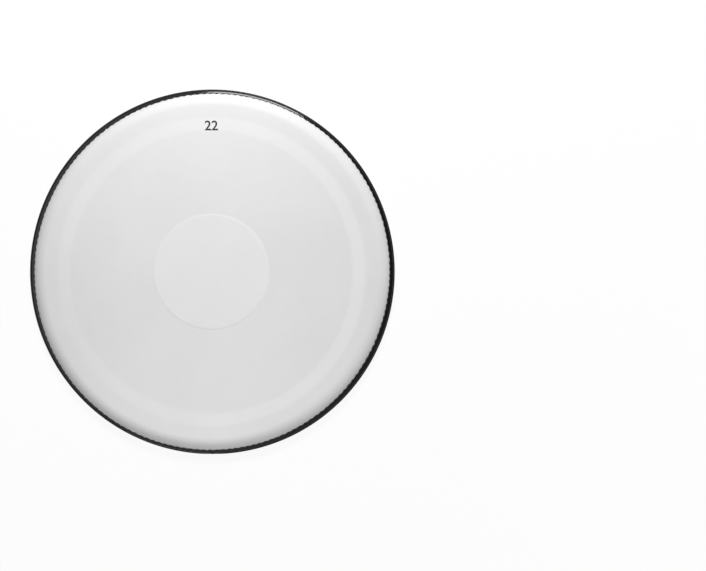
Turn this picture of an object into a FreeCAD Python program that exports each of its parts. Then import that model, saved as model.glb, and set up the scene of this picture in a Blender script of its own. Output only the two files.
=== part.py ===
import FreeCAD, Part
import Sketcher
import math
import os

# Bass drum head: a polyester film whose pleated skirt is locked into a rolled aluminium
# channel hoop by a toothed ring. A round patch is bonded to the middle of the playing side,
# and underneath a thin muffling ring floats on a felt strip.
# Frame: the Z axis is the head's axis, +Z points out of the playing side, and the foot of the
# hoop lies on z = 0. The hoop's butt joint is at -Y.

doc = FreeCAD.newDocument("drum_head")

# Driving dimensions: alias, millimetres (or degrees, or a count), meaning
size_rows = [
    ("shell_diameter", 558.8, "outside of the drum shell that the head slips over"),
    ("shell_clearance", 0.9, "radial room between the shell and the hoop"),
    ("channel_wall", 1.0, "aluminium thickness"),
    ("channel_gap", 6.7, "inside width of the channel"),
    ("hoop_height", 12.0, "foot of the hoop to the top of its lip"),
    ("inner_wall_drop", 3.0, "how far the inner wall stays below the lip"),
    ("foot_chamfer", 1.4, "broken outer edge of the hoop's foot"),
    ("lead_in", 1.2, "chamfer at the foot of the bore, where the shell enters"),
    ("lip_chamfer", 1.2, "outside of the bend where the lip turns in"),
    ("lip_land", 0.9, "flat top of the lip, which the counterhoop presses on"),
    ("joint_gap", 0.5, "opening of the hoop's butt joint"),
    ("splice_length", 56.0, "strip across the butt joint, along the hoop"),
    ("splice_thickness", 0.8, "strip across the butt joint"),
    ("splice_clearance", 0.2, "room around the strip"),
    ("lock_clearance", 0.1, "room around the lock ring"),
    ("film_thickness", 0.3, "head film"),
    ("skirt_clearance", 0.1, "room between the film's skirt and the channel's inner wall"),
    ("skirt_lift", 1.2, "foot of the film's skirt above the channel's floor"),
    ("pleat_count", 176, "pleats round the skirt"),
    ("pleat_depth", 1.2, "valley to crest of a pleat, radially"),
    ("pleat_run", 3.9, "radial reach of the slope on which the pleats grow"),
    ("pleat_rise", 5.6, "height of that slope"),
    ("crease", 0.15, "outward step of both skins where the pleats start"),
    ("mouth_drop", 0.6, "start of the skirt below the top of the lip"),
    ("collar_radius", 23.0, "rounding from the flat face into the collar, outside"),
    ("collar_angle", 47.5, "degrees that the collar turns before the pleats start"),
    ("dot_diameter", 182.0, "reinforcing patch"),
    ("dot_thickness", 0.25, "reinforcing patch"),
    ("adhesive_thickness", 0.1, "each bonding layer"),
    ("adhesive_inset", 1.0, "bonding layers stay this far inside the edges that they bond"),
    ("ring_margin", 0.8, "muffling ring's outer edge inside the start of the collar"),
    ("ring_width", 42.5, "muffling ring, radially"),
    ("ring_thickness", 0.25, "muffling ring"),
    ("felt_margin", 17.5, "felt strip's outer edge inside the ring's outer edge"),
    ("felt_width", 20.0, "felt strip, radially"),
    ("felt_thickness", 2.0, "felt strip, uncompressed"),
    ("overrun", 2.0, "how far a cutting solid passes the faces that it cuts"),
]

# Radii and heights worked out from the driving dimensions: alias, formula, meaning
place_rows = [
    ("bore_radius", "=sizes.shell_diameter / 2 + sizes.shell_clearance", "bore of the hoop"),
    ("cavity_inner", "=bore_radius + sizes.channel_wall", "channel, inner side"),
    ("cavity_outer", "=cavity_inner + sizes.channel_gap", "channel, outer side"),
    ("hoop_radius", "=cavity_outer + sizes.channel_wall", "outside of the hoop"),
    ("lip_start", "=sizes.hoop_height - sizes.lip_chamfer", "height where the lip bends in"),
    ("lip_under", "=sizes.hoop_height - sizes.channel_wall", "underside of the lip"),
    ("lip_crest", "=hoop_radius - sizes.lip_chamfer", "outer edge of the lip's flat top"),
    ("lip_edge", "=lip_crest - sizes.lip_land", "free edge of the lip"),
    ("inner_wall_top", "=sizes.hoop_height - sizes.inner_wall_drop", "inner wall's top"),
    ("hoop_middle", "=(bore_radius + hoop_radius) / 2", "middle of the hoop's section"),
    ("joint_angle", "=sizes.joint_gap / hoop_middle * 180 / pi", "degrees of the butt joint"),
    ("valley_inside", "=cavity_inner + sizes.skirt_clearance", "pleat valley, inner skin"),
    ("crest_inside", "=valley_inside + sizes.pleat_depth", "pleat crest, inner skin"),
    ("valley_outside", "=valley_inside + sizes.film_thickness", "pleat valley, outer skin"),
    ("crest_outside", "=crest_inside + sizes.film_thickness", "pleat crest, outer skin"),
    ("valley_tooth", "=valley_outside + sizes.lock_clearance", "tip of a lock ring tooth"),
    ("crest_tooth", "=crest_outside + sizes.lock_clearance", "root between two teeth"),
    ("skirt_foot", "=sizes.channel_wall + sizes.skirt_lift", "foot of the skirt"),
    ("mouth_height", "=sizes.hoop_height - sizes.mouth_drop", "where the skirt starts"),
    ("skirt_height", "=mouth_height - skirt_foot", "skirt inside the channel"),
    ("collar_radius_inside", "=sizes.collar_radius - sizes.film_thickness", "inner skin"),
    ("collar_end_outside", "=valley_outside - sizes.pleat_run", "end of the collar"),
    ("collar_end_height", "=mouth_height + sizes.pleat_rise", "end of the collar"),
    ("flat_radius", "=collar_end_outside - sizes.collar_radius * sin(sizes.collar_angle * 1deg)",
     "flat face of the film"),
    ("film_top", "=collar_end_height + sizes.collar_radius * (1 - cos(sizes.collar_angle * 1deg))",
     "playing surface"),
    ("film_under", "=film_top - sizes.film_thickness", "underside of the film"),
    ("collar_centre", "=film_top - sizes.collar_radius", "height of the collar's centre line"),
    ("collar_end_inside",
     "=flat_radius + sqrt(collar_radius_inside^2 - (collar_end_height - collar_centre)^2)",
     "end of the collar, inner skin"),
    ("slope_outside", "=collar_end_outside + sizes.crease", "start of the pleats' slope"),
    ("slope_inside", "=collar_end_inside + sizes.crease", "start of the slope, inner skin"),
    ("lock_outer", "=cavity_outer - sizes.lock_clearance", "outside of the lock ring"),
    ("lock_bottom", "=sizes.channel_wall + sizes.lock_clearance", "foot of the lock ring"),
    ("lock_height", "=lip_under - sizes.lock_clearance - lock_bottom", "lock ring, up to the lip"),
    ("splice_inner", "=crest_tooth + sizes.splice_clearance", "splice strip, inner edge"),
    ("splice_outer", "=cavity_outer - sizes.splice_clearance", "splice strip, outer edge"),
    ("splice_top", "=sizes.channel_wall + sizes.splice_thickness", "splice strip, upper face"),
    ("splice_angle", "=sizes.splice_length / hoop_middle * 180 / pi", "degrees that it spans"),
    ("notch_top", "=splice_top + sizes.splice_clearance", "relief in the lock ring over it"),
    ("notch_length",
     "=2 * (splice_outer * sin(splice_angle / 2 * 1deg) + sizes.splice_clearance)",
     "relief, straight across the strip's outer corners"),
    ("dot_bottom", "=film_top + sizes.adhesive_thickness", "underside of the patch"),
    ("dot_radius", "=sizes.dot_diameter / 2", "patch"),
    ("ring_outer", "=flat_radius - sizes.ring_margin", "muffling ring"),
    ("ring_inner", "=ring_outer - sizes.ring_width", "muffling ring"),
    ("felt_outer", "=ring_outer - sizes.felt_margin", "felt strip"),
    ("felt_inner", "=felt_outer - sizes.felt_width", "felt strip"),
    ("felt_top", "=film_under - sizes.adhesive_thickness", "felt strip, upper face"),
    ("felt_bottom", "=felt_top - sizes.felt_thickness", "felt strip, lower face"),
    ("ring_top", "=felt_bottom - sizes.adhesive_thickness", "muffling ring, upper face"),
    ("ring_bottom", "=ring_top - sizes.ring_thickness", "muffling ring, lower face"),
]


def fill_sheet(name, rows):
    sheet = doc.addObject("Spreadsheet::Sheet", name)
    for row, (alias, content, meaning) in enumerate(rows, start=1):
        sheet.set(f"A{row}", meaning)
        sheet.set(f"B{row}", str(content))
        sheet.setAlias(f"B{row}", alias)
    return sheet


sizes = fill_sheet("sizes", size_rows)
places = fill_sheet("places", place_rows)
doc.recompute()

turn_about_z = FreeCAD.Vector(0, 0, 1)
origin = FreeCAD.Vector(0, 0, 0)


def value(expression):
    return float(sizes.evalExpression(expression))


def new_body(label):
    body = doc.addObject("PartDesign::Body", label)
    body.Label = label
    return body


def new_sketch(body, plane):
    sketch = body.newObject("Sketcher::SketchObject", f"{body.Name}_{plane}_sketch")
    planes = [item for item in body.Origin.OriginFeatures if item.Role == plane]
    sketch.AttachmentSupport = (planes[0], "")
    sketch.MapMode = "FlatFace"
    return sketch


def bind(sketch, constraint, name, expression):
    index = sketch.addConstraint(constraint)
    sketch.renameConstraint(index, name)
    sketch.setExpression(f"Constraints.{name}", expression)


# A profile is a list of corners (name, radius, height, bend). A bend is None where a straight
# line leads to the next corner, or (radius, side) where an arc does: side is 1 where the arc's
# centre lies to the left of the way to the next corner, and -1 where it lies to the right.
def draw_profile(sketch, corners):
    points = []
    for name, across, up, bend in corners:
        points.append(FreeCAD.Vector(value(across), value(up), 0))
    ends = []
    for index, (name, across, up, bend) in enumerate(corners):
        start = points[index]
        stop = points[(index + 1) % len(points)]
        if bend is None:
            sketch.addGeometry(Part.LineSegment(start, stop))
            ends.append((1, 2))
            continue
        radius = value(bend[0])
        way = stop - start
        half = way.Length / 2
        left = FreeCAD.Vector(-way.y, way.x, 0).normalize()
        centre = (start + stop) / 2 + left * bend[1] * math.sqrt(radius**2 - half**2)
        circle = Part.Circle(centre, turn_about_z, radius)
        angles = [math.atan2(point.y - centre.y, point.x - centre.x) for point in (start, stop)]
        sketch.addGeometry(Part.ArcOfCircle(circle, *angles[:: bend[1]]))
        ends.append((1, 2) if bend[1] > 0 else (2, 1))
    for index, (name, across, up, bend) in enumerate(corners):
        following = (index + 1) % len(corners)
        join = Sketcher.Constraint("Coincident", index, ends[index][1], following, ends[following][0])
        sketch.addConstraint(join)
        for kind, axis, expression in (("DistanceX", -2, across), ("DistanceY", -1, up)):
            if value(expression) == 0:
                sketch.addConstraint(Sketcher.Constraint("PointOnObject", index, ends[index][0], axis))
                continue
            place = Sketcher.Constraint(kind, -1, 1, index, ends[index][0], value(expression))
            bind(sketch, place, f"{name}_{kind[-1].lower()}", expression)
        if bend is not None:
            bind(sketch, Sketcher.Constraint("Radius", index, value(bend[0])), f"{name}_bend", bend[0])


def revolved_body(label, corners, angle=None):
    body = new_body(label)
    sketch = new_sketch(body, "XZ_Plane")
    draw_profile(sketch, corners)
    revolve = body.newObject("PartDesign::Revolution", f"{label}_revolve")
    revolve.Profile = sketch
    revolve.ReferenceAxis = (sketch, ["V_Axis"])
    revolve.Midplane = True
    revolve.Angle = 360
    if angle is not None:
        revolve.setExpression("Angle", angle)
    return body


# A flat disc, or a ring where an inner radius is given, of the given thickness
def flat_body(label, bottom, thickness, outer, inner=None):
    body = new_body(label)
    sketch = new_sketch(body, "XY_Plane")
    for index, (name, radius) in enumerate((("outer", outer), ("inner", inner))):
        if radius is None:
            continue
        sketch.addGeometry(Part.Circle(origin, turn_about_z, value(radius)))
        sketch.addConstraint(Sketcher.Constraint("Coincident", index, 3, -1, 1))
        bind(sketch, Sketcher.Constraint("Radius", index, value(radius)), f"{name}_radius", radius)
    pad = body.newObject("PartDesign::Pad", f"{label}_pad")
    pad.Profile = sketch
    pad.setExpression("Length", thickness)
    body.setExpression("Placement.Base.z", bottom)
    return body


def turn_body(body, degrees):
    body.Placement = FreeCAD.Placement(origin, FreeCAD.Rotation(turn_about_z, degrees))


# The pleats' stations: two to a pleat, crest and valley in turn, evenly round the axis
def ring_point(radius, station, height):
    angle = math.pi * station / sizes.pleat_count
    return FreeCAD.Vector(radius * math.cos(angle), radius * math.sin(angle), height)


# A straight line from each point to the next, and back to the first
def closed_polygon(points):
    return Part.makePolygon(points + points[:1])


# The zigzag of the skirt, with a crest at each even station
def pleat_wire(valley, crest, height):
    stations = range(2 * sizes.pleat_count)
    return closed_polygon([ring_point(valley if i % 2 else crest, i, height) for i in stations])


# The slope on which the pleats grow, between the ring of the valleys' starts and the mouth.
# From each start a fold runs down to the valley, and between two starts a flat dart narrows to
# the crest, so a pleat is three flat triangles.
def pleat_slope(start_radius, start_height, valley, crest, height):
    faces = []
    for station in range(1, 2 * sizes.pleat_count, 2):
        start = ring_point(start_radius, station, start_height)
        next_start = ring_point(start_radius, station + 2, start_height)
        low = ring_point(valley, station, height)
        top = ring_point(crest, station + 1, height)
        next_low = ring_point(valley, station + 2, height)
        for corners in ([start, low, top], [start, top, next_start], [next_start, top, next_low]):
            faces.append(Part.Face(closed_polygon(corners)))
    return faces


# The level ring-shaped face between two closed wires
def level_face(*wires):
    return Part.makeFace(list(wires), "Part::FaceMakerBullseye").Faces


def cut(label, base, tool):
    result = doc.addObject("Part::Cut", label)
    result.Label = label
    result.Base = base
    result.Tool = tool
    return result


# The flat face and the collar, which end on a level edge where the pleats start
def film_dish():
    return revolved_body("film_dish", [
        ("under_middle", "0", "places.film_under", None),
        ("under_edge", "places.flat_radius", "places.film_under",
         ("places.collar_radius_inside", -1)),
        ("collar_inside", "places.collar_end_inside", "places.collar_end_height", None),
        ("collar_outside", "places.collar_end_outside", "places.collar_end_height",
         ("sizes.collar_radius", 1)),
        ("top_edge", "places.flat_radius", "places.film_top", None),
        ("top_middle", "0", "places.film_top", None),
    ])


# The film is one sheet: the dish's skins run on into the slope on which the pleats grow out
# of a plain ring, and that into the pleated skirt. A narrow crease joins dish and slope.
def head_film():
    dish = film_dish()
    doc.recompute()
    skins = sorted(dish.Shape.Faces, key=lambda face: face.CenterOfMass.z)
    dish_end = skins.pop(0)
    edge_inside, edge_outside = sorted(dish_end.Wires, key=lambda wire: wire.Length)
    drop = FreeCAD.Vector(0, 0, -places.skirt_height)
    feet = []
    for dish_edge, slope_radius, valley, crest in (
        (edge_outside, places.slope_outside, places.valley_outside, places.crest_outside),
        (edge_inside, places.slope_inside, places.valley_inside, places.crest_inside),
    ):
        starts = range(1, 2 * sizes.pleat_count, 2)
        slope_edge = [ring_point(slope_radius, i, places.collar_end_height) for i in starts]
        skins += level_face(dish_edge, closed_polygon(slope_edge))
        skins += pleat_slope(slope_radius, places.collar_end_height, valley, crest, places.mouth_height)
        skins += pleat_wire(valley, crest, places.mouth_height).extrude(drop).Faces
        feet.append(pleat_wire(valley, crest, places.skirt_foot))
    skins += level_face(*feet)
    sheet = Part.makeShell(skins)
    sheet.sewShape()
    film = doc.addObject("Part::Feature", "head_film")
    film.Label = "head_film"
    film.Shape = Part.makeSolid(sheet)
    return film


def hoop_channel():
    hoop = revolved_body("hoop_channel", [
        ("foot_inner", "places.bore_radius + sizes.lead_in", "0", None),
        ("foot_outer", "places.hoop_radius - sizes.foot_chamfer", "0", None),
        ("side_low", "places.hoop_radius", "sizes.foot_chamfer", None),
        ("side_high", "places.hoop_radius", "places.lip_start", None),
        ("lip_outer", "places.lip_crest", "sizes.hoop_height", None),
        ("lip_inner", "places.lip_edge", "sizes.hoop_height", None),
        ("lip_under", "places.lip_edge", "places.lip_under", None),
        ("lip_root", "places.cavity_outer", "places.lip_under", None),
        ("floor_outer", "places.cavity_outer", "sizes.channel_wall", None),
        ("floor_inner", "places.cavity_inner", "sizes.channel_wall", None),
        ("wall_outer", "places.cavity_inner", "places.inner_wall_top", None),
        ("wall_inner", "places.bore_radius", "places.inner_wall_top", None),
        ("bore_low", "places.bore_radius", "sizes.lead_in", None),
    ], "360 - places.joint_angle")
    turn_body(hoop, 90)
    return hoop


def joint_splice():
    splice = revolved_body("joint_splice", [
        ("low_inner", "places.splice_inner", "sizes.channel_wall", None),
        ("low_outer", "places.splice_outer", "sizes.channel_wall", None),
        ("high_outer", "places.splice_outer", "places.splice_top", None),
        ("high_inner", "places.splice_inner", "places.splice_top", None),
    ], "places.splice_angle")
    turn_body(splice, -90)
    return splice


def lock_ring():
    blank = flat_body("lock_ring_blank", "places.lock_bottom", "places.lock_height",
                      "places.lock_outer", "places.cavity_inner")
    tooth_wire = doc.addObject("Part::Feature", "tooth_wire")
    tooth_wire.Shape = pleat_wire(places.valley_tooth, places.crest_tooth, 0)
    tooth_cutter = doc.addObject("Part::Extrusion", "tooth_cutter")
    tooth_cutter.Base = tooth_wire
    tooth_cutter.DirMode = "Custom"
    tooth_cutter.Dir = turn_about_z
    tooth_cutter.Solid = True
    tooth_cutter.setExpression("LengthFwd", "sizes.hoop_height + sizes.overrun")
    toothed = cut("lock_ring_toothed", blank, tooth_cutter)
    notch = doc.addObject("Part::Box", "splice_notch")
    notch.setExpression("Length", "places.notch_length")
    notch.setExpression("Width", "places.hoop_radius - places.bore_radius + 2 * sizes.overrun")
    notch.setExpression("Height", "places.notch_top")
    notch.setExpression("Placement.Base.x", "-places.notch_length / 2")
    notch.setExpression("Placement.Base.y", "-places.hoop_radius - sizes.overrun")
    return cut("lock_ring", toothed, notch)


def bonding_layer(label, bottom, outer, inner=None):
    inset_outer = f"{outer} - sizes.adhesive_inset"
    inset_inner = f"{inner} + sizes.adhesive_inset" if inner else None
    return flat_body(label, bottom, "sizes.adhesive_thickness", inset_outer, inset_inner)


def felt_bond(label, bottom):
    return bonding_layer(label, bottom, "places.felt_outer", "places.felt_inner")


sub_parts = [
    hoop_channel(),
    joint_splice(),
    lock_ring(),
    head_film(),
    bonding_layer("dot_adhesive", "places.film_top", "places.dot_radius"),
    flat_body("centre_dot", "places.dot_bottom", "sizes.dot_thickness", "places.dot_radius"),
    felt_bond("felt_adhesive", "places.felt_top"),
    flat_body("muffle_felt", "places.felt_bottom", "sizes.felt_thickness",
              "places.felt_outer", "places.felt_inner"),
    felt_bond("ring_adhesive", "places.ring_top"),
    flat_body("muffle_ring", "places.ring_bottom", "sizes.ring_thickness",
              "places.ring_outer", "places.ring_inner"),
]

doc.recompute()
failed = [item.Label for item in doc.Objects if {"Invalid", "Error"} & set(item.State)]
for item in sub_parts:
    if item.Shape.isNull() or not item.Shape.isValid() or len(item.Shape.Solids) != 1:
        failed.append(item.Label)
if failed:
    raise RuntimeError(f"these objects failed: {failed}")

os.makedirs("parts", exist_ok=True)
for item in sub_parts:
    item.Shape.exportStep(f"parts/{item.Label}.step")
    print(item.Label, round(item.Shape.Volume, 1), "mm3")
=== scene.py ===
import bpy
import math
import numpy as np
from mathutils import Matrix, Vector


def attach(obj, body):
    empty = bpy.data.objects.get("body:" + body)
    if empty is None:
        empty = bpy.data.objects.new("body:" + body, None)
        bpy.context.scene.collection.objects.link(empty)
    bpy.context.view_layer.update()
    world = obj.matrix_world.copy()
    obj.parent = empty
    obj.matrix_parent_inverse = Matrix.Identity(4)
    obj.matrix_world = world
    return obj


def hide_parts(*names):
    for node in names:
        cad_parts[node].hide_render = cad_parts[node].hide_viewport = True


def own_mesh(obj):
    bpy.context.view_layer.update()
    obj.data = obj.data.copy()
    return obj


# Bass drum head seen from its playing side: white film with a pleated skirt, black lock ring,
# aluminium channel hoop, centre patch, and a muffling ring on felt underneath. Metres, +Z up.

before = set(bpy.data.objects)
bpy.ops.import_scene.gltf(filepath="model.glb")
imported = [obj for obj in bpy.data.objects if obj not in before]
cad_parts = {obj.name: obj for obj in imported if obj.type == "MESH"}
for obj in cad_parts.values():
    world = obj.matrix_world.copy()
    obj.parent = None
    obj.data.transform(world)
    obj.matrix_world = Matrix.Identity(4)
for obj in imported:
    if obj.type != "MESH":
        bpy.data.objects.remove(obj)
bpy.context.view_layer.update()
mm = 0.001


# smallest and largest distance from the Z axis, and lowest and highest place, of a CAD node
def nodeSpan(node):
    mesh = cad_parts[node].data
    flat = np.empty(len(mesh.vertices) * 3)
    mesh.vertices.foreach_get("co", flat)
    points = flat.reshape(-1, 3)
    away = np.hypot(points[:, 0], points[:, 1])
    return {"inner": away.min(), "outer": away.max(), "low": points[:, 2].min(), "high": points[:, 2].max()}


hoopSpan = nodeSpan("hoop_channel")
lockSpan = nodeSpan("lock_ring")
filmSpan = nodeSpan("head_film")
dotSpan = nodeSpan("centre_dot")
feltSpan = nodeSpan("muffle_felt")
ringSpan = nodeSpan("muffle_ring")
print("frame loaded:", len(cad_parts), "nodes")


# Meshes from grids

# A grid of points [turn, step, xyz] becomes quads between neighbours. The turns close on themselves
# unless openTurn is set. closedStep joins the last step to the first, and an open turn then gets a
# face at each end. poles are two points that close the first and the last step, each with a fan.
# finishes gives each gap between steps the number of its material.
def gridMesh(name, grid, openTurn=False, closedStep=False, poles=None, finishes=None):
    turns, steps = grid.shape[:2]
    index = np.arange(turns * steps).reshape(turns, steps)
    if not openTurn:
        index = np.concatenate([index, index[:1]], axis=0)
    if closedStep:
        index = np.concatenate([index, index[:, :1]], axis=1)
    quads = np.stack([index[:-1, :-1], index[1:, :-1], index[1:, 1:], index[:-1, 1:]], axis=-1)
    faces = quads.reshape(-1, 4).tolist()
    points = grid.reshape(-1, 3)
    if poles is not None:
        count = len(points)
        points = np.concatenate([points, np.array(poles, float)])
        first, last = index[:, 0], index[:, -1]
        faces += np.stack([np.full(turns, count), first[1:], first[:-1]], axis=-1).tolist()
        faces += np.stack([np.full(turns, count + 1), last[:-1], last[1:]], axis=-1).tolist()
    if openTurn and closedStep:
        faces.append(index[0, :-1].tolist())
        faces.append(index[-1, -2::-1].tolist())
    mesh = bpy.data.meshes.new(name)
    mesh.from_pydata(points.tolist(), [], faces)
    mesh.polygons.foreach_set("use_smooth", np.ones(len(mesh.polygons), bool))
    if finishes is not None:
        fans = [np.full(turns, finishes[0]), np.full(turns, finishes[-1])] if poles is not None else []
        mesh.polygons.foreach_set("material_index", np.concatenate([np.tile(finishes, turns), *fans]))
    mesh.validate()
    piece = bpy.data.objects.new(name, mesh)
    bpy.context.scene.collection.objects.link(piece)
    return piece


# A profile of (radius, height) rows carried round the Z axis, at each of the given angles
def turned(angles, radius, height):
    radius, height = np.broadcast_arrays(radius, height)
    around = angles[:, None]
    return np.stack([radius * np.cos(around), radius * np.sin(around), height + 0 * around], axis=-1)


# A closed profile with its corners rounded: each corner (radius, height, rounding) becomes an
# arc that touches both of its sides
def roundedProfile(corners, stepsPerArc):
    points = np.array([corner[:2] for corner in corners], float)
    rounding = np.array([corner[2] for corner in corners], float)
    before = np.roll(points, 1, axis=0) - points
    after = np.roll(points, -1, axis=0) - points
    before /= np.linalg.norm(before, axis=1)[:, None]
    after /= np.linalg.norm(after, axis=1)[:, None]
    half = np.arccos(np.clip((before * after).sum(1), -1, 1)) / 2
    middle = before + after
    middle /= np.linalg.norm(middle, axis=1)[:, None]
    centre = points + middle * (rounding / np.sin(half))[:, None]
    reach = (rounding / np.tan(half))[:, None]
    start = points + before * reach - centre
    stop = points + after * reach - centre
    startAngle = np.arctan2(start[:, 1], start[:, 0])
    turn = np.arctan2(stop[:, 1], stop[:, 0]) - startAngle
    turn = (turn + np.pi) % (2 * np.pi) - np.pi
    share = np.linspace(0, 1, stepsPerArc)
    angle = startAngle[:, None] + turn[:, None] * share
    arc = centre[:, None] + rounding[:, None, None] * np.stack([np.cos(angle), np.sin(angle)], axis=-1)
    return arc.reshape(-1, 2)


def fullTurn(count):
    return np.arange(count) * (2 * np.pi / count)


pleat = {
    "count": 176,
    "fullness": 1.25,
    "crests": (0.5, 0.82),  # lowest and highest, as shares of the pleats' depth
    "wander": ((5, 0.9, 0.4), (11, 0.5, 2.1)),  # waves round the head, reach and start of each
    "seed": 3,
}


# Height of the pleats' wave as a share of their depth, 0 in a valley: a cosine with fuller crests,
# whose phase wanders by slow sines and whose crests differ in height
def pleatWave(angles):
    phase = angles * pleat["count"]
    for waves, reach, start in pleat["wander"]:
        phase = phase + reach * np.sin(waves * angles + start)
    wave = (1 + np.cos(phase)) / 2
    which = np.floor(phase / (2 * np.pi) + 0.5).astype(int) % pleat["count"]
    crest = np.random.default_rng(pleat["seed"]).uniform(*pleat["crests"], pleat["count"])
    return (1 - (1 - wave) ** pleat["fullness"]) * crest[which]


# Shader helpers

def makeNode(tree, kind, **settings):
    node = tree.nodes.new(kind)
    for key, value in settings.items():
        setattr(node, key, value)
    return node


def setInputs(node, values):
    for key, value in values.items():
        node.inputs[key].default_value = value


# a number or a colour is set on the socket, and another node's output is linked to it
def feed(tree, socket, value):
    if isinstance(value, (int, float, tuple)):
        socket.default_value = value
    else:
        tree.links.new(value, socket)


def mathNode(tree, operation, first, second=None):
    node = makeNode(tree, "ShaderNodeMath", operation=operation)
    feed(tree, node.inputs[0], first)
    if second is not None:
        feed(tree, node.inputs[1], second)
    return node.outputs[0]


# low where the share is 0, and high where it is 1
def between(tree, share, low, high):
    return mathNode(tree, "ADD", mathNode(tree, "MULTIPLY", share, high - low), low)


# 0 below the first value and 1 above the second, smooth between them
def smoothStep(tree, source, low, high):
    node = makeNode(tree, "ShaderNodeMapRange", interpolation_type="SMOOTHSTEP")
    tree.links.new(source, node.inputs["Value"])
    setInputs(node, {"From Min": low, "From Max": high})
    return node.outputs["Result"]


# the Mix node's sockets have numbers, because values and colours share their names
def mixValue(tree, factor, first, second):
    node = makeNode(tree, "ShaderNodeMix")
    for number, value in ((0, factor), (2, first), (3, second)):
        feed(tree, node.inputs[number], value)
    return node.outputs[0]


def mixColour(tree, factor, first, second, blend="MIX"):
    node = makeNode(tree, "ShaderNodeMix", data_type="RGBA", blend_type=blend)
    for number, value in ((0, factor), (6, first), (7, second)):
        feed(tree, node.inputs[number], value)
    return node.outputs[2]


def mixShader(tree, factor, first, second):
    node = makeNode(tree, "ShaderNodeMixShader")
    for number, value in enumerate((factor, first, second)):
        feed(tree, node.inputs[number], value)
    return node.outputs[0]


def grey(level):
    return (level, level, level, 1)


def newGroup(name, sockets):
    group = bpy.data.node_groups.new(name, "ShaderNodeTree")
    for direction, kind, label, default in sockets:
        socket = group.interface.new_socket(label, in_out=direction, socket_type=kind)
        if default is not None:
            socket.default_value = default
    return group, group.nodes.new("NodeGroupInput"), group.nodes.new("NodeGroupOutput")


# Cloudy tone: a slow noise, centred on 0, as a value near 1 that a colour is multiplied by
def makeCloudTone():
    group, given, result = newGroup("cloudTone", [
        ("INPUT", "NodeSocketVector", "Vector", None),
        ("INPUT", "NodeSocketFloat", "Scale", 12.0),
        ("INPUT", "NodeSocketFloat", "Amount", 0.05),
        ("OUTPUT", "NodeSocketFloat", "Tone", None),
    ])
    noise = makeNode(group, "ShaderNodeTexNoise")
    setInputs(noise, {"Detail": 3.0, "Roughness": 0.55, "Distortion": 0.4})
    group.links.new(given.outputs["Vector"], noise.inputs["Vector"])
    group.links.new(given.outputs["Scale"], noise.inputs["Scale"])
    centred = mathNode(group, "SUBTRACT", noise.outputs["Fac"], 0.5)
    scaled = mathNode(group, "MULTIPLY", centred, given.outputs["Amount"])
    group.links.new(mathNode(group, "ADD", scaled, 1.0), result.inputs["Tone"])
    return group


speckLevels = {"foot": 0.35, "crown": 0.7}  # of the noise that the sprayed grain is made from


# Sprayed grain: fine rounded specks as a height
def makeSprayGrain():
    group, given, result = newGroup("sprayGrain", [
        ("INPUT", "NodeSocketVector", "Vector", None),
        ("INPUT", "NodeSocketFloat", "Scale", 900.0),
        ("OUTPUT", "NodeSocketFloat", "Height", None),
    ])
    noise = makeNode(group, "ShaderNodeTexNoise")
    setInputs(noise, {"Detail": 2.0, "Roughness": 0.6})
    group.links.new(given.outputs["Vector"], noise.inputs["Vector"])
    group.links.new(given.outputs["Scale"], noise.inputs["Scale"])
    specks = smoothStep(group, noise.outputs["Fac"], speckLevels["foot"], speckLevels["crown"])
    group.links.new(specks, result.inputs["Height"])
    return group


# Drawing lines: noise on (radius, angle, height) that is stretched along the hoop
def makeDrawnLines():
    group, given, result = newGroup("drawnLines", [
        ("INPUT", "NodeSocketVector", "Vector", None),
        ("INPUT", "NodeSocketFloat", "Across", 4000.0),
        ("INPUT", "NodeSocketFloat", "Along", 6.0),
        ("OUTPUT", "NodeSocketFloat", "Lines", None),
    ])
    split = makeNode(group, "ShaderNodeSeparateXYZ")
    group.links.new(given.outputs["Vector"], split.inputs[0])
    x, y, z = split.outputs
    squared = mathNode(group, "ADD", mathNode(group, "MULTIPLY", x, x), mathNode(group, "MULTIPLY", y, y))
    radius = mathNode(group, "SQRT", squared)
    angle = mathNode(group, "ARCTAN2", x, y)
    polar = makeNode(group, "ShaderNodeCombineXYZ")
    group.links.new(mathNode(group, "MULTIPLY", radius, given.outputs["Across"]), polar.inputs[0])
    group.links.new(mathNode(group, "MULTIPLY", angle, given.outputs["Along"]), polar.inputs[1])
    group.links.new(mathNode(group, "MULTIPLY", z, given.outputs["Across"]), polar.inputs[2])
    noise = makeNode(group, "ShaderNodeTexNoise")
    setInputs(noise, {"Scale": 1.0, "Detail": 3.0, "Roughness": 0.6})
    group.links.new(polar.outputs[0], noise.inputs["Vector"])
    group.links.new(noise.outputs["Fac"], result.inputs["Lines"])
    return group


cloudTone = makeCloudTone()
sprayGrain = makeSprayGrain()
drawnLines = makeDrawnLines()


def placeGroup(tree, group, vector, **values):
    node = makeNode(tree, "ShaderNodeGroup", node_tree=group)
    tree.links.new(vector, node.inputs["Vector"])
    setInputs(node, values)
    return node.outputs[0]


# A material with its Principled shader and Object coordinates ready
def newMaterial(name, finish):
    material = bpy.data.materials.new(name)
    material.use_nodes = True
    tree = material.node_tree
    shader = tree.nodes["Principled BSDF"]
    setInputs(shader, finish)
    where = makeNode(tree, "ShaderNodeTexCoord").outputs["Object"]
    return material, tree, shader, where


def addBump(tree, shader, height, distance, strength):
    bump = makeNode(tree, "ShaderNodeBump")
    setInputs(bump, {"Distance": distance, "Strength": strength})
    tree.links.new(height, bump.inputs["Height"])
    tree.links.new(bump.outputs[0], shader.inputs["Normal"])


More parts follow.
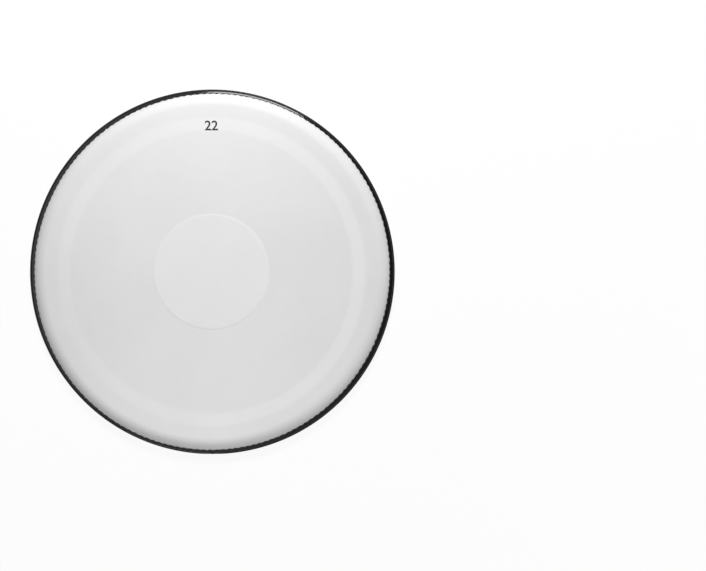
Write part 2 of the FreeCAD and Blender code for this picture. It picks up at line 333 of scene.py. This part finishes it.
# A material from its look: a colour times a cloudy tone, and a sprayed grain as bump where the look
# has one, with its depth and strength. toneOf works out the tone where it is more than clouds.
def cloudyMaterial(name, look, toneOf=None):
    material, tree, shader, where = newMaterial(name, look["finish"])
    tone = toneOf(tree, where) if toneOf else placeGroup(tree, cloudTone, where, **look["clouds"])
    tree.links.new(mixColour(tree, 1.0, look["colour"], tone, "MULTIPLY"), shader.inputs["Base Color"])
    if "grain" in look:
        addBump(tree, shader, placeGroup(tree, sprayGrain, where, Scale=look["grain"]), *look["bump"])
    return material


# Drawn metal as its lines, and the colour and roughness that follow them
def drawnMetal(tree, where, look):
    lines = placeGroup(tree, drawnLines, where, **look["lines"])
    dark, bright = look["tones"]
    return lines, mixColour(tree, lines, grey(dark), grey(bright)), between(tree, lines, *look["roughness"])


# distance from the Z axis, as a value in metres
def axisDistance(tree, where):
    flat = makeNode(tree, "ShaderNodeVectorMath", operation="MULTIPLY")
    flat.inputs[1].default_value = (1, 1, 0)
    tree.links.new(where, flat.inputs[0])
    length = makeNode(tree, "ShaderNodeVectorMath", operation="LENGTH")
    tree.links.new(flat.outputs[0], length.inputs[0])
    return length.outputs["Value"]


def splitPlace(tree, where):
    split = makeNode(tree, "ShaderNodeSeparateXYZ")
    tree.links.new(where, split.inputs[0])
    return split.outputs


# Head film
film = {
    "columnsPerPleat": 8,
    "faceShares": (0.06, 0.2, 0.4, 0.6, 0.8, 0.95, 1.0),  # rows of the flat face, of its radius
    "arcSteps": 10,
    "slopeSteps": 9,
    "collarRadius": 23.0 * mm,
    "collarAngle": 47.5,
    "collarEnd": 277.8 * mm,
    "thickness": 0.3 * mm,
    "mouthValley": 281.2 * mm,
    "mouthBelowLip": 0.6 * mm,
    "skirtValley": 281.7 * mm,
    "skirtTop": 9.6 * mm,
    "pleatDepth": 1.2 * mm,
    "pleatGrowth": 2.5,  # power of the share of the slope that the pleats grow by
    "mouthWaves": ((1, 0.45 * mm, 180.0), (2, 1.1 * mm, 58.0)),  # waves round the head, reach, turn
    "slowClouds": {"Scale": 7.0, "Amount": 0.10},
    "quickClouds": {"Scale": 60.0, "Amount": 0.03},
    "feltClouds": {"Scale": 3.0, "Amount": 1.2},
    "feltLean": 1.5,
    "feltTone": 0.045,
    "feltBlur": 4.0 * mm,
    # painted shade: darkens the film towards the left and right and lightens it towards the top and bottom
    "paintedSideShade": 1.2,
    "coat": {
        "finish": {"Roughness": 0.56, "Specular IOR Level": 0.2},
        "colour": grey(0.80),
        "grain": 1400.0,
        "bump": (0.015 * mm, 0.25),
    },
    "underside": {
        "finish": {"Roughness": 0.3, "Specular IOR Level": 0.5},
        "colour": grey(0.81),
        "grain": 700.0,
        "bump": (0.01 * mm, 0.15),
    },
}


# Tone of the film: cloudy, a little lighter where the felt backs it, more so to the right, and with
# painted shade that makes it a little darker towards the left and right and lighter towards the top and
# bottom, which runs as (y squared - x squared)
def filmTone(tree, where):
    slow = placeGroup(tree, cloudTone, where, **film["slowClouds"])
    quick = placeGroup(tree, cloudTone, where, **film["quickClouds"])
    tone = mathNode(tree, "MULTIPLY", slow, quick)
    x, y = splitPlace(tree, where)[:2]
    away = axisDistance(tree, where)
    blur = film["feltBlur"]
    inside = smoothStep(tree, away, feltSpan["inner"] - blur, feltSpan["inner"] + blur)
    outside = smoothStep(tree, away, feltSpan["outer"] + blur, feltSpan["outer"] - blur)
    patchy = placeGroup(tree, cloudTone, where, **film["feltClouds"])
    patchy = mathNode(tree, "ADD", patchy, mathNode(tree, "MULTIPLY", x, film["feltLean"]))
    backed = mathNode(tree, "MULTIPLY", mathNode(tree, "MULTIPLY", inside, outside), patchy)
    tone = mathNode(tree, "ADD", tone, mathNode(tree, "MULTIPLY", backed, film["feltTone"]))
    # painted shade, not the film's own tone: darker towards the left and right, lighter towards the top and
    # bottom
    sides = mathNode(tree, "SUBTRACT", mathNode(tree, "MULTIPLY", y, y), mathNode(tree, "MULTIPLY", x, x))
    return mathNode(tree, "ADD", tone, mathNode(tree, "MULTIPLY", sides, film["paintedSideShade"]))


# radius of the film's valleys at the mouth of the channel, a little off centre and slightly oval: a
# cosine of the angle and one of twice the angle
def mouthRadius(angles):
    radius = np.full(len(angles), film["mouthValley"])
    for waves, reach, turn in film["mouthWaves"]:
        radius = radius + reach * np.cos(waves * (angles - math.radians(turn)))
    return radius


# The skin at a given offset under the outer one: flat to the collar, round the collar's arc,
# then down a quadratic curve that ends upright, on which the pleats' wave grows, then into the
# channel and straight down the skirt. The collar follows the mouth.
def filmSkin(angles, offset):
    turn = math.radians(film["collarAngle"])
    top = filmSpan["high"]
    mouth = hoopSpan["high"] - film["mouthBelowLip"]
    valley = mouthRadius(angles)[:, None] - offset
    shift = valley + offset - film["mouthValley"]
    wave = pleatWave(angles)[:, None] * film["pleatDepth"]
    flat = film["collarEnd"] - film["collarRadius"] * math.sin(turn) + shift
    bend = film["collarRadius"] - offset
    arc = np.linspace(0, turn, film["arcSteps"])[None, 1:]
    slope = np.linspace(0, 1, film["slopeSteps"])[None, 1:]
    faceR = np.array([film["faceShares"]]) * flat
    arcR = flat + bend * np.sin(arc)
    arcZ = top - film["collarRadius"] + bend * np.cos(arc)
    startR, startZ = arcR[:, -1:], arcZ[:, -1:]
    cornerZ = startZ - (valley - startR) * math.tan(turn)
    left = (1 - slope) ** 2
    slopeR = startR * left + valley * (1 - left) + wave * slope ** film["pleatGrowth"]
    slopeZ = startZ * left + 2 * cornerZ * slope * (1 - slope) + mouth * slope ** 2
    skirtR = film["skirtValley"] - offset + wave * np.ones((1, 2))
    skirtZ = np.array([[film["skirtTop"], filmSpan["low"]]])
    parts = ((faceR, np.full((1, 1), top - offset)), (arcR, arcZ), (slopeR, slopeZ), (skirtR, skirtZ))
    radius = np.concatenate([part[0] for part in parts], axis=1)
    height = np.concatenate([np.broadcast_to(part[1], part[0].shape) for part in parts], axis=1)
    return radius, height


# Both skins, joined at the foot of the skirt and closed in the middle of the face
def makeFilm():
    angles = fullTurn(pleat["count"] * film["columnsPerPleat"])
    outerR, outerZ = filmSkin(angles, 0)
    innerR, innerZ = filmSkin(angles, film["thickness"])
    radius = np.concatenate([innerR, outerR[:, ::-1]], axis=1)
    height = np.concatenate([innerZ, outerZ[:, ::-1]], axis=1)
    centres = [(0, 0, filmSpan["high"] - film["thickness"]), (0, 0, filmSpan["high"])]
    rows = innerR.shape[1]
    finishes = (np.arange(2 * rows - 1) < rows - 1).astype(int)
    piece = gridMesh("headFilm", turned(angles, radius, height), poles=centres, finishes=finishes)
    piece.data.materials.append(cloudyMaterial("coatedFilm", film["coat"], filmTone))
    piece.data.materials.append(cloudyMaterial("smoothFilm", film["underside"], filmTone))
    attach(piece, "head")
    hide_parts("head_film")
    return piece


headFilm = makeFilm()
print("film:", len(headFilm.data.polygons), "faces")


# Black lacquer, on the hoop's lip and on the lock ring
lacquer = {"level": 0.004, "specks": {"Scale": 90.0, "Amount": 0.5}}


def blackLacquer(tree, where):
    specks = placeGroup(tree, cloudTone, where, **lacquer["specks"])
    return mixColour(tree, 1.0, grey(lacquer["level"]), specks, "MULTIPLY")


# Channel hoop
hoop = {
    "columns": 720,
    "nearColumns": 64,
    "nearRuns": 3,  # the closer columns go this many flatRuns from the joint
    "wall": 1.0 * mm,
    "lipEdge": 286.9 * mm,
    "lipShare": 1.01,  # what lies less than this many walls under the top is the lip
    "wallDrop": 3.0 * mm,
    "outerBend": 1.6 * mm,
    "innerBend": 0.6 * mm,
    "cutEdge": 0.25 * mm,
    "jointGap": 0.5 * mm,
    "jointRun": 2.6 * mm,
    "flatRun": 12.0 * mm,
    "jointFlat": 0.5 * mm,
    "jointTuck": 0.6 * mm,
    "arcSteps": 6,
    "blackFrom": 10.3 * mm,
    "blackFade": 0.15 * mm,
    "blackWear": 0.1 * mm,
    "wear": {"Scale": 140.0, "Amount": 1.0},
    "finish": {"Specular IOR Level": 0.3},
    "lines": {"Across": 5000.0, "Along": 5.0},
    "tones": (0.60, 0.82),
    "roughness": (0.2, 0.42),
    "clouds": {"Scale": 25.0, "Amount": 0.12},
    "bump": (0.03 * mm, 0.25),
}


# Drawn aluminium, black above a slightly worn edge
def makeHoopMaterial():
    material, tree, shader, where = newMaterial("drawnAluminium", hoop["finish"])
    lines, metal, rough = drawnMetal(tree, where, hoop)
    tone = placeGroup(tree, cloudTone, where, **hoop["clouds"])
    bright = mixColour(tree, 1.0, metal, tone, "MULTIPLY")
    worn = mathNode(tree, "MULTIPLY", placeGroup(tree, cloudTone, where, **hoop["wear"]), hoop["blackWear"])
    edge = mathNode(tree, "ADD", splitPlace(tree, where)[2], worn)
    start = hoop["blackFrom"] + hoop["blackWear"]
    black = smoothStep(tree, edge, start - hoop["blackFade"], start + hoop["blackFade"])
    tree.links.new(mixColour(tree, black, bright, blackLacquer(tree, where)), shader.inputs["Base Color"])
    tree.links.new(mathNode(tree, "SUBTRACT", 1.0, black), shader.inputs["Metallic"])
    tree.links.new(rough, shader.inputs["Roughness"])
    addBump(tree, shader, lines, *hoop["bump"])
    return material


# The channel's section with rounded bends, carried round from one side of the butt joint to the
# other. Rolling leaves the ends a little flat, so beside the joint the outer side lies in and only
# the joint itself stands at full radius, and the lip's edge runs in there: a wide and a narrow bell
# curve of the distance from the joint.
def makeHoop():
    inner, outer, top = hoopSpan["inner"], hoopSpan["outer"], hoopSpan["high"]
    wall = hoop["wall"]
    cavityIn, cavityOut = inner + wall, outer - wall
    wallTop = top - hoop["wallDrop"]
    bend, tuck, cut = hoop["outerBend"], hoop["innerBend"], hoop["cutEdge"]
    profile = roundedProfile([
        (inner, 0, bend),
        (outer, 0, bend),
        (outer, top, bend),
        (hoop["lipEdge"], top, cut),
        (hoop["lipEdge"], top - wall, cut),
        (cavityOut, top - wall, tuck),
        (cavityOut, wall, tuck),
        (cavityIn, wall, tuck),
        (cavityIn, wallTop, cut),
        (inner, wallTop, cut),
    ], hoop["arcSteps"])
    radius, height = profile[:, 0], profile[:, 1]
    half = hoop["jointGap"] / 2 / outer
    near = hoop["nearRuns"] * hoop["flatRun"] / outer
    close = np.linspace(half, near, hoop["nearColumns"])
    far = np.linspace(near, 2 * np.pi - near, hoop["columns"])[1:-1]
    fromJoint = np.concatenate([close, far, (2 * np.pi - close)[::-1]])
    away = np.minimum(fromJoint, 2 * np.pi - fromJoint) * outer
    narrow = np.exp(-(away / hoop["jointRun"]) ** 2)[:, None]
    wide = np.exp(-(away / hoop["flatRun"]) ** 2)[:, None]
    lipMiddle = (hoop["lipEdge"] + outer) / 2
    outside = np.clip((radius - lipMiddle) / (outer - lipMiddle), 0, 1) * hoop["jointFlat"]
    lip = np.clip((lipMiddle - radius) / (lipMiddle - hoop["lipEdge"]), 0, 1) * hoop["jointTuck"]
    lip = np.where(height > top - hoop["lipShare"] * wall, lip, 0)
    grid = turned(fromJoint - np.pi / 2, radius - (wide - narrow) * outside - narrow * lip, height)
    piece = gridMesh("channelHoop", grid, openTurn=True, closedStep=True)
    piece.data.materials.append(makeHoopMaterial())
    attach(piece, "head")
    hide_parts("hoop_channel")
    return piece


channelHoop = makeHoop()
print("hoop:", len(channelHoop.data.polygons), "faces")


# Lock ring
lock = {
    "columnsPerPleat": 8,
    "clearance": 0.1 * mm,
    "brim": 11.45 * mm,
    "crownRun": 0.4 * mm,
    "crownShare": 0.3,
    "beadTop": 11.9 * mm,
    "ripple": 0.22 * mm,
    "shoulder": 285.4 * mm,
    "shoulderHigh": 11.1 * mm,
    "innerFoot": 9.9 * mm,
    "outerFoot": 10.2 * mm,
    "groove": 0.3 * mm,
    "arcSteps": 8,
    "finish": {"Specular IOR Level": 0.3},
    "roughness": (0.08, 0.14),
    "grain": 500.0,
    "bump": (0.02 * mm, 0.15),
}


def makeLockMaterial():
    material, tree, shader, where = newMaterial("blackLacquer", lock["finish"])
    tree.links.new(blackLacquer(tree, where), shader.inputs["Base Color"])
    grain = placeGroup(tree, sprayGrain, where, Scale=lock["grain"])
    tree.links.new(between(tree, grain, *lock["roughness"]), shader.inputs["Roughness"])
    addBump(tree, shader, grain, *lock["bump"])
    return material


# The ring's section at each angle: from the hoop's lip up to a shoulder, up a straight slope that
# rounds over at its crown, down a quarter wave to a brim beside the film, down the toothed inner
# side, and back below to the flange under the lip. Teeth, brim and crown follow the pleats' wave,
# and the crown dips where a crest passes.
def makeLock():
    angles = fullTurn(pleat["count"] * lock["columnsPerPleat"])
    wave = pleatWave(angles)[:, None]
    outer, low, high = lockSpan["outer"], lockSpan["low"], lockSpan["high"]
    tooth = film["skirtValley"] + lock["clearance"] + wave * film["pleatDepth"]
    brim = mouthRadius(angles)[:, None] + lock["clearance"] + wave * film["pleatDepth"]
    crown = brim + lock["crownRun"]
    top = lock["beadTop"] - wave * lock["ripple"]
    share = np.linspace(0, 1, lock["arcSteps"])[None, :]
    rounded = lock["crownShare"]
    out = 1 - share
    drop = np.where(out < rounded, out ** 2 / (2 * rounded), out - rounded / 2) / (1 - rounded / 2)
    slopeR = lock["shoulder"] + (crown - lock["shoulder"]) * share
    slopeZ = top - (top - lock["shoulderHigh"]) * drop
    innerR = crown + (brim - crown) * share[:, 1:]
    innerZ = lock["brim"] + (top - lock["brim"]) * np.cos(share[:, 1:] * np.pi / 2)
    ones = np.ones_like(wave)
    flangeR = np.array([outer, outer, hoop["lipEdge"], hoop["lipEdge"] - lock["groove"]]) * ones
    flangeZ = np.array([low, high, high, lock["outerFoot"]]) * ones
    footZ = np.array([lock["innerFoot"], low]) * ones
    radius = np.concatenate([flangeR, slopeR, innerR, tooth, tooth], axis=1)
    height = np.concatenate([flangeZ, slopeZ, innerZ, footZ], axis=1)
    piece = gridMesh("lockRing", turned(angles, radius, height), closedStep=True)
    piece.data.materials.append(makeLockMaterial())
    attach(piece, "head")
    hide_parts("lock_ring")
    return piece


lockRing = makeLock()
print("lock ring:", len(lockRing.data.polygons), "faces")


# Centre patch
dot = {
    "columns": 256,
    "insideShares": (0.25, 0.5, 0.75, 0.95),  # rows of the flat middle, of its radius
    "fallSteps": 9,
    "edgeRun": 2.6 * mm,
    "edgeHigh": 0.16 * mm,
    "corner": 0.03 * mm,
    "lap": 0.9 * mm,
    "lift": 0.01 * mm,
    "finish": {"Roughness": 0.5, "Specular IOR Level": 0.2},
    "colour": grey(0.83),
    "clouds": {"Scale": 14.0, "Amount": 0.05},
    "grain": 1400.0,
    "bump": (0.02 * mm, 0.3),
}


# A thin disc whose upper side falls away near the rim in half a wave to a small upright edge, and
# whose rim laps down past its bonding layer to the film
def makeDot():
    outer, low, high = dotSpan["outer"], dotSpan["low"], dotSpan["high"]
    rim, corner = filmSpan["high"] + dot["lift"], dot["corner"]
    edge = rim + dot["edgeHigh"]
    fall = np.linspace(0, 1, dot["fallSteps"])
    fallR = outer - corner - dot["edgeRun"] * fall
    fallZ = edge + (high - edge) * (1 - np.cos(fall * np.pi)) / 2
    inside = np.array(dot["insideShares"]) * fallR[-1]
    lapR = [outer - dot["lap"], outer - corner, outer, outer]
    lapZ = [low, rim, rim + corner, edge - corner]
    radius = np.concatenate([inside, lapR, fallR, inside[::-1]])
    height = np.concatenate([np.full(len(inside), low), lapZ, fallZ, np.full(len(inside), high)])
    grid = turned(fullTurn(dot["columns"]), radius, height)
    piece = gridMesh("centrePatch", grid, poles=[(0, 0, low), (0, 0, high)])
    piece.data.materials.append(cloudyMaterial("patchFilm", dot))
    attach(piece, "head")
    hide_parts("centre_dot")


# Size mark: plain figures in black ink on the film
mark = {
    "text": "22",
    "height": 15.0 * mm,
    "figureShare": 0.7,  # height of a figure, of the font's size
    "place": (0.0, 229.0 * mm),
    "ink": 0.02 * mm,
    "weight": 0.35 * mm,
    "finish": {"Roughness": 0.55, "Specular IOR Level": 0.3},
    "colour": grey(0.03),
    "clouds": {"Scale": 700.0, "Amount": 1.2},
}


# Text made a mesh and moved to its place, as thick as the ink
def makeMark():
    letters = bpy.data.curves.new("sizeMark", "FONT")
    letters.body = mark["text"]
    letters.align_x = "CENTER"
    letters.align_y = "CENTER"
    letters.size = mark["height"] / mark["figureShare"]
    letters.extrude = mark["ink"] / 2
    letters.offset = mark["weight"]
    drawn = bpy.data.objects.new("sizeMark", letters)
    bpy.context.scene.collection.objects.link(drawn)
    bpy.context.view_layer.update()
    mesh = bpy.data.meshes.new_from_object(drawn.evaluated_get(bpy.context.evaluated_depsgraph_get()))
    bpy.data.objects.remove(drawn)
    flat = np.empty(len(mesh.vertices) * 3)
    mesh.vertices.foreach_get("co", flat)
    middle = np.array([*mark["place"], filmSpan["high"] + mark["ink"] / 2])
    mesh.vertices.foreach_set("co", (flat.reshape(-1, 3) + middle).ravel())
    piece = bpy.data.objects.new("sizeMark", mesh)
    bpy.context.scene.collection.objects.link(piece)
    mesh.materials.clear()
    mesh.materials.append(cloudyMaterial("blackInk", mark))
    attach(piece, "head")


# Felt strip
felt = {
    "columns": 900,
    "steps": 44,
    "squareness": 9.0,
    "fuzz": 0.08 * mm,
    "fuzzRoom": 2,  # the section is narrower on each side by this many times the fuzz
    "seed": 7,
    "finish": {"Roughness": 0.95, "Sheen Weight": 0.4, "Sheen Roughness": 0.5, "Specular IOR Level": 0.2},
    "colour": (0.80, 0.79, 0.76, 1),
    "clouds": {"Scale": 400.0, "Amount": 0.35},
    "grain": 1800.0,
    "bump": (0.15 * mm, 0.8),
}


# A ring whose section is a superellipse, flat with soft corners; its sides are pushed in and out
# by a little seeded noise
def makeFelt():
    angles = fullTurn(felt["columns"])
    section = fullTurn(felt["steps"]) - np.pi / 2
    power = 2 / felt["squareness"]
    across = np.sign(np.cos(section)) * np.abs(np.cos(section)) ** power
    up = np.sign(np.sin(section)) * np.abs(np.sin(section)) ** power
    halfWide = (feltSpan["outer"] - feltSpan["inner"]) / 2
    halfHigh = (feltSpan["high"] - feltSpan["low"]) / 2
    rough = np.random.default_rng(felt["seed"]).normal(0, felt["fuzz"], (felt["columns"], felt["steps"]))
    radius = feltSpan["inner"] + halfWide + across * (halfWide - felt["fuzzRoom"] * felt["fuzz"] + rough)
    height = feltSpan["low"] + halfHigh + up * halfHigh
    piece = gridMesh("feltStrip", turned(angles, radius, height), closedStep=True)
    piece.data.materials.append(cloudyMaterial("woolFelt", felt))
    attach(piece, "head")
    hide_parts("muffle_felt")
    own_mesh(piece)


# Muffling ring
ring = {
    "columns": 512,
    "rounding": 0.1 * mm,
    "arcSteps": 4,
    "finish": {"Roughness": 0.32, "Specular IOR Level": 0.5},
    "colour": grey(0.90),
    "clouds": {"Scale": 9.0, "Amount": 0.05},
    "grain": 900.0,
    "bump": (0.015 * mm, 0.2),
}


# A flat ring with rounded edges
def makeRing():
    inner, outer = ringSpan["inner"], ringSpan["outer"]
    low, high = ringSpan["low"], ringSpan["high"]
    corners = ((inner, low), (outer, low), (outer, high), (inner, high))
    profile = roundedProfile([(*corner, ring["rounding"]) for corner in corners], ring["arcSteps"])
    grid = turned(fullTurn(ring["columns"]), profile[:, 0], profile[:, 1])
    piece = gridMesh("mufflingRing", grid, closedStep=True)
    piece.data.materials.append(cloudyMaterial("ringFilm", ring))
    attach(piece, "floating_ring")
    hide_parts("muffle_ring")


makeDot()
makeMark()
makeFelt()
makeRing()
print("patch, mark, felt and muffling ring made")


# Bonding layers and splice, which keep their CAD shape
bond = {
    "finish": {"Roughness": 0.3, "Specular IOR Level": 0.4},
    "colour": (0.78, 0.77, 0.72, 1),
    "clouds": {"Scale": 180.0, "Amount": 0.12},
}
splice = {
    "finish": {"Metallic": 1.0},
    "lines": {"Across": 3000.0, "Along": 20.0},
    "tones": (0.35, 0.6),
    "roughness": (0.25, 0.5),
}


def makeSpliceMaterial():
    material, tree, shader, where = newMaterial("spliceSteel", splice["finish"])
    metal, rough = drawnMetal(tree, where, splice)[1:]
    tree.links.new(metal, shader.inputs["Base Color"])
    tree.links.new(rough, shader.inputs["Roughness"])
    return material


def dress(node, material):
    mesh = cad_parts[node].data
    mesh.materials.clear()
    mesh.materials.append(material)


bondMaterial = cloudyMaterial("bondingLayer", bond)
for layer in ("dot_adhesive", "felt_adhesive", "ring_adhesive"):
    dress(layer, bondMaterial)
dress("joint_splice", makeSpliceMaterial())
print("bonding layers and splice dressed")


# Stage: floor, light and camera
ground = {
    "columns": 96,
    "rows": (15.0, 2.5, 0.8, 0.4, 0.2885),  # from the horizon in to the opening under the head
    "drop": 0.2 * mm,
    "tone": 0.60,
    "glow": 0.88,
    "glowFade": (0.35, 1.6),  # distances from the axis
    "mirrored": 0.6,
}
sky = {
    "zenith": 0.695,
    "horizon": 0.20,
    "below": 0.28,
    "lean": 0.2,
    "mirrorHorizon": 0.6,
    "mirrorBelow": 0.9,
    "mirrorLean": 2.2,
}
softbox = {"azimuth": 84.0, "elevation": 39.5, "power": 37.5, "mirrored": True}
underbox = {"azimuth": 98.0, "elevation": -58.0, "power": 48.0, "mirrored": False}
lampShape = {"distance": 2.5, "width": 1.05, "depth": 0.545}

# the hoop's outer circle in the photograph, in pixels of its 706 by 571 frame
photo = {"width": 706, "height": 571, "hoopX": 212.3, "hoopY": 271.8, "hoopRadius": 182.5}
camera = {"distance": 1.8, "sensor": 36.0, "farthest": 100}


# Two values of 0 or 1: seen by the camera, straight or through something clear, and seen mirrored
def rayKinds(tree):
    path = makeNode(tree, "ShaderNodeLightPath")
    seen = mathNode(tree, "MAXIMUM", path.outputs["Is Camera Ray"], path.outputs["Is Transmission Ray"])
    return seen, path.outputs["Is Glossy Ray"]


# A flat ring of floor, open under the head so that light reaches the head's underside, and clear
# from below. What is seen of it is white and glows, fully so far from the head and less in mirrors.
def makeFloor():
    rows = np.array(ground["rows"])
    floor = gridMesh("floor", turned(fullTurn(ground["columns"]), rows, -ground["drop"]))
    material = bpy.data.materials.new("paleFloor")
    material.use_nodes = True
    tree = material.node_tree
    tree.nodes.clear()
    seen, glossy = rayKinds(tree)
    shown = mathNode(tree, "MAXIMUM", seen, mathNode(tree, "MULTIPLY", glossy, ground["mirrored"]))
    plain = makeNode(tree, "ShaderNodeBsdfDiffuse")
    tree.links.new(mixColour(tree, shown, grey(ground["tone"]), grey(1.0)), plain.inputs["Color"])
    glow = makeNode(tree, "ShaderNodeEmission")
    setInputs(glow, {"Color": grey(1.0), "Strength": 1.0})
    where = makeNode(tree, "ShaderNodeTexCoord").outputs["Object"]
    fade = smoothStep(tree, axisDistance(tree, where), *ground["glowFade"])
    share = mathNode(tree, "MULTIPLY", shown, between(tree, fade, ground["glow"], 1))
    fromAbove = mixShader(tree, share, plain.outputs[0], glow.outputs[0])
    clear = makeNode(tree, "ShaderNodeBsdfTransparent")
    backfacing = makeNode(tree, "ShaderNodeNewGeometry").outputs["Backfacing"]
    output = makeNode(tree, "ShaderNodeOutputMaterial")
    tree.links.new(mixShader(tree, backfacing, fromAbove, clear.outputs[0]), output.inputs["Surface"])
    floor.data.materials.append(material)


# White where it is seen. Where it is mirrored, it is greyer towards the horizon, brighter to the left
# overhead and even below. As light it is brightest overhead, weaker towards the horizon, a little
# stronger from the right, and even from below.
def makeWorld():
    world = bpy.data.worlds.new("studio")
    world.use_nodes = True
    tree = world.node_tree
    background = tree.nodes["Background"]
    background.inputs["Color"].default_value = grey(1.0)
    right, _, up = splitPlace(tree, makeNode(tree, "ShaderNodeTexCoord").outputs["Generated"])
    isBelow = mathNode(tree, "LESS_THAN", up, 0.0)
    rise = between(tree, up, sky["horizon"], sky["zenith"])
    above = mathNode(tree, "ADD", rise, mathNode(tree, "MULTIPLY", right, sky["lean"]))
    light = mixValue(tree, isBelow, above, sky["below"])
    steep = between(tree, up, sky["mirrorHorizon"], 1)
    overhead = mathNode(tree, "MULTIPLY", mathNode(tree, "MULTIPLY", up, up), right)
    shine = mathNode(tree, "SUBTRACT", steep, mathNode(tree, "MULTIPLY", overhead, sky["mirrorLean"]))
    gloss = mixValue(tree, isBelow, mathNode(tree, "MAXIMUM", shine, 0.0), sky["mirrorBelow"])
    seen, glossy = rayKinds(tree)
    strength = mixValue(tree, seen, mixValue(tree, glossy, light, gloss), 1.0)
    tree.links.new(strength, background.inputs["Strength"])
    bpy.context.scene.world = world


# A rectangle of light that faces the origin
def makeLamp(name, settings):
    turn, rise = math.radians(settings["azimuth"]), math.radians(settings["elevation"])
    way = Vector((math.cos(turn) * math.cos(rise), math.sin(turn) * math.cos(rise), math.sin(rise)))
    data = bpy.data.lights.new(name, "AREA")
    data.shape = "RECTANGLE"
    data.size = lampShape["width"]
    data.size_y = lampShape["depth"]
    data.energy = settings["power"]
    lamp = bpy.data.objects.new(name, data)
    lamp.location = way * lampShape["distance"]
    lamp.rotation_euler = way.to_track_quat("Z", "Y").to_euler()
    lamp.visible_glossy = settings["mirrored"]
    bpy.context.scene.collection.objects.link(lamp)


# Straight above, and beside the head by as much as puts it where it is in the photograph
def makeCamera():
    metresPerPixel = hoopSpan["outer"] / photo["hoopRadius"]
    data = bpy.data.cameras.new("camera")
    data.sensor_width = camera["sensor"]
    data.lens = camera["sensor"] * camera["distance"] / (photo["width"] * metresPerPixel)
    data.clip_end = camera["farthest"]
    eye = bpy.data.objects.new("camera", data)
    eye.location = (
        (photo["width"] / 2 - photo["hoopX"]) * metresPerPixel,
        (photo["hoopY"] - photo["height"] / 2) * metresPerPixel,
        hoopSpan["high"] + camera["distance"],
    )
    bpy.context.scene.collection.objects.link(eye)
    bpy.context.scene.camera = eye


makeFloor()
makeWorld()
makeLamp("softbox", softbox)
makeLamp("underbox", underbox)
makeCamera()
bpy.context.scene.view_settings.view_transform = "Standard"
print("stage, lamps and camera set")
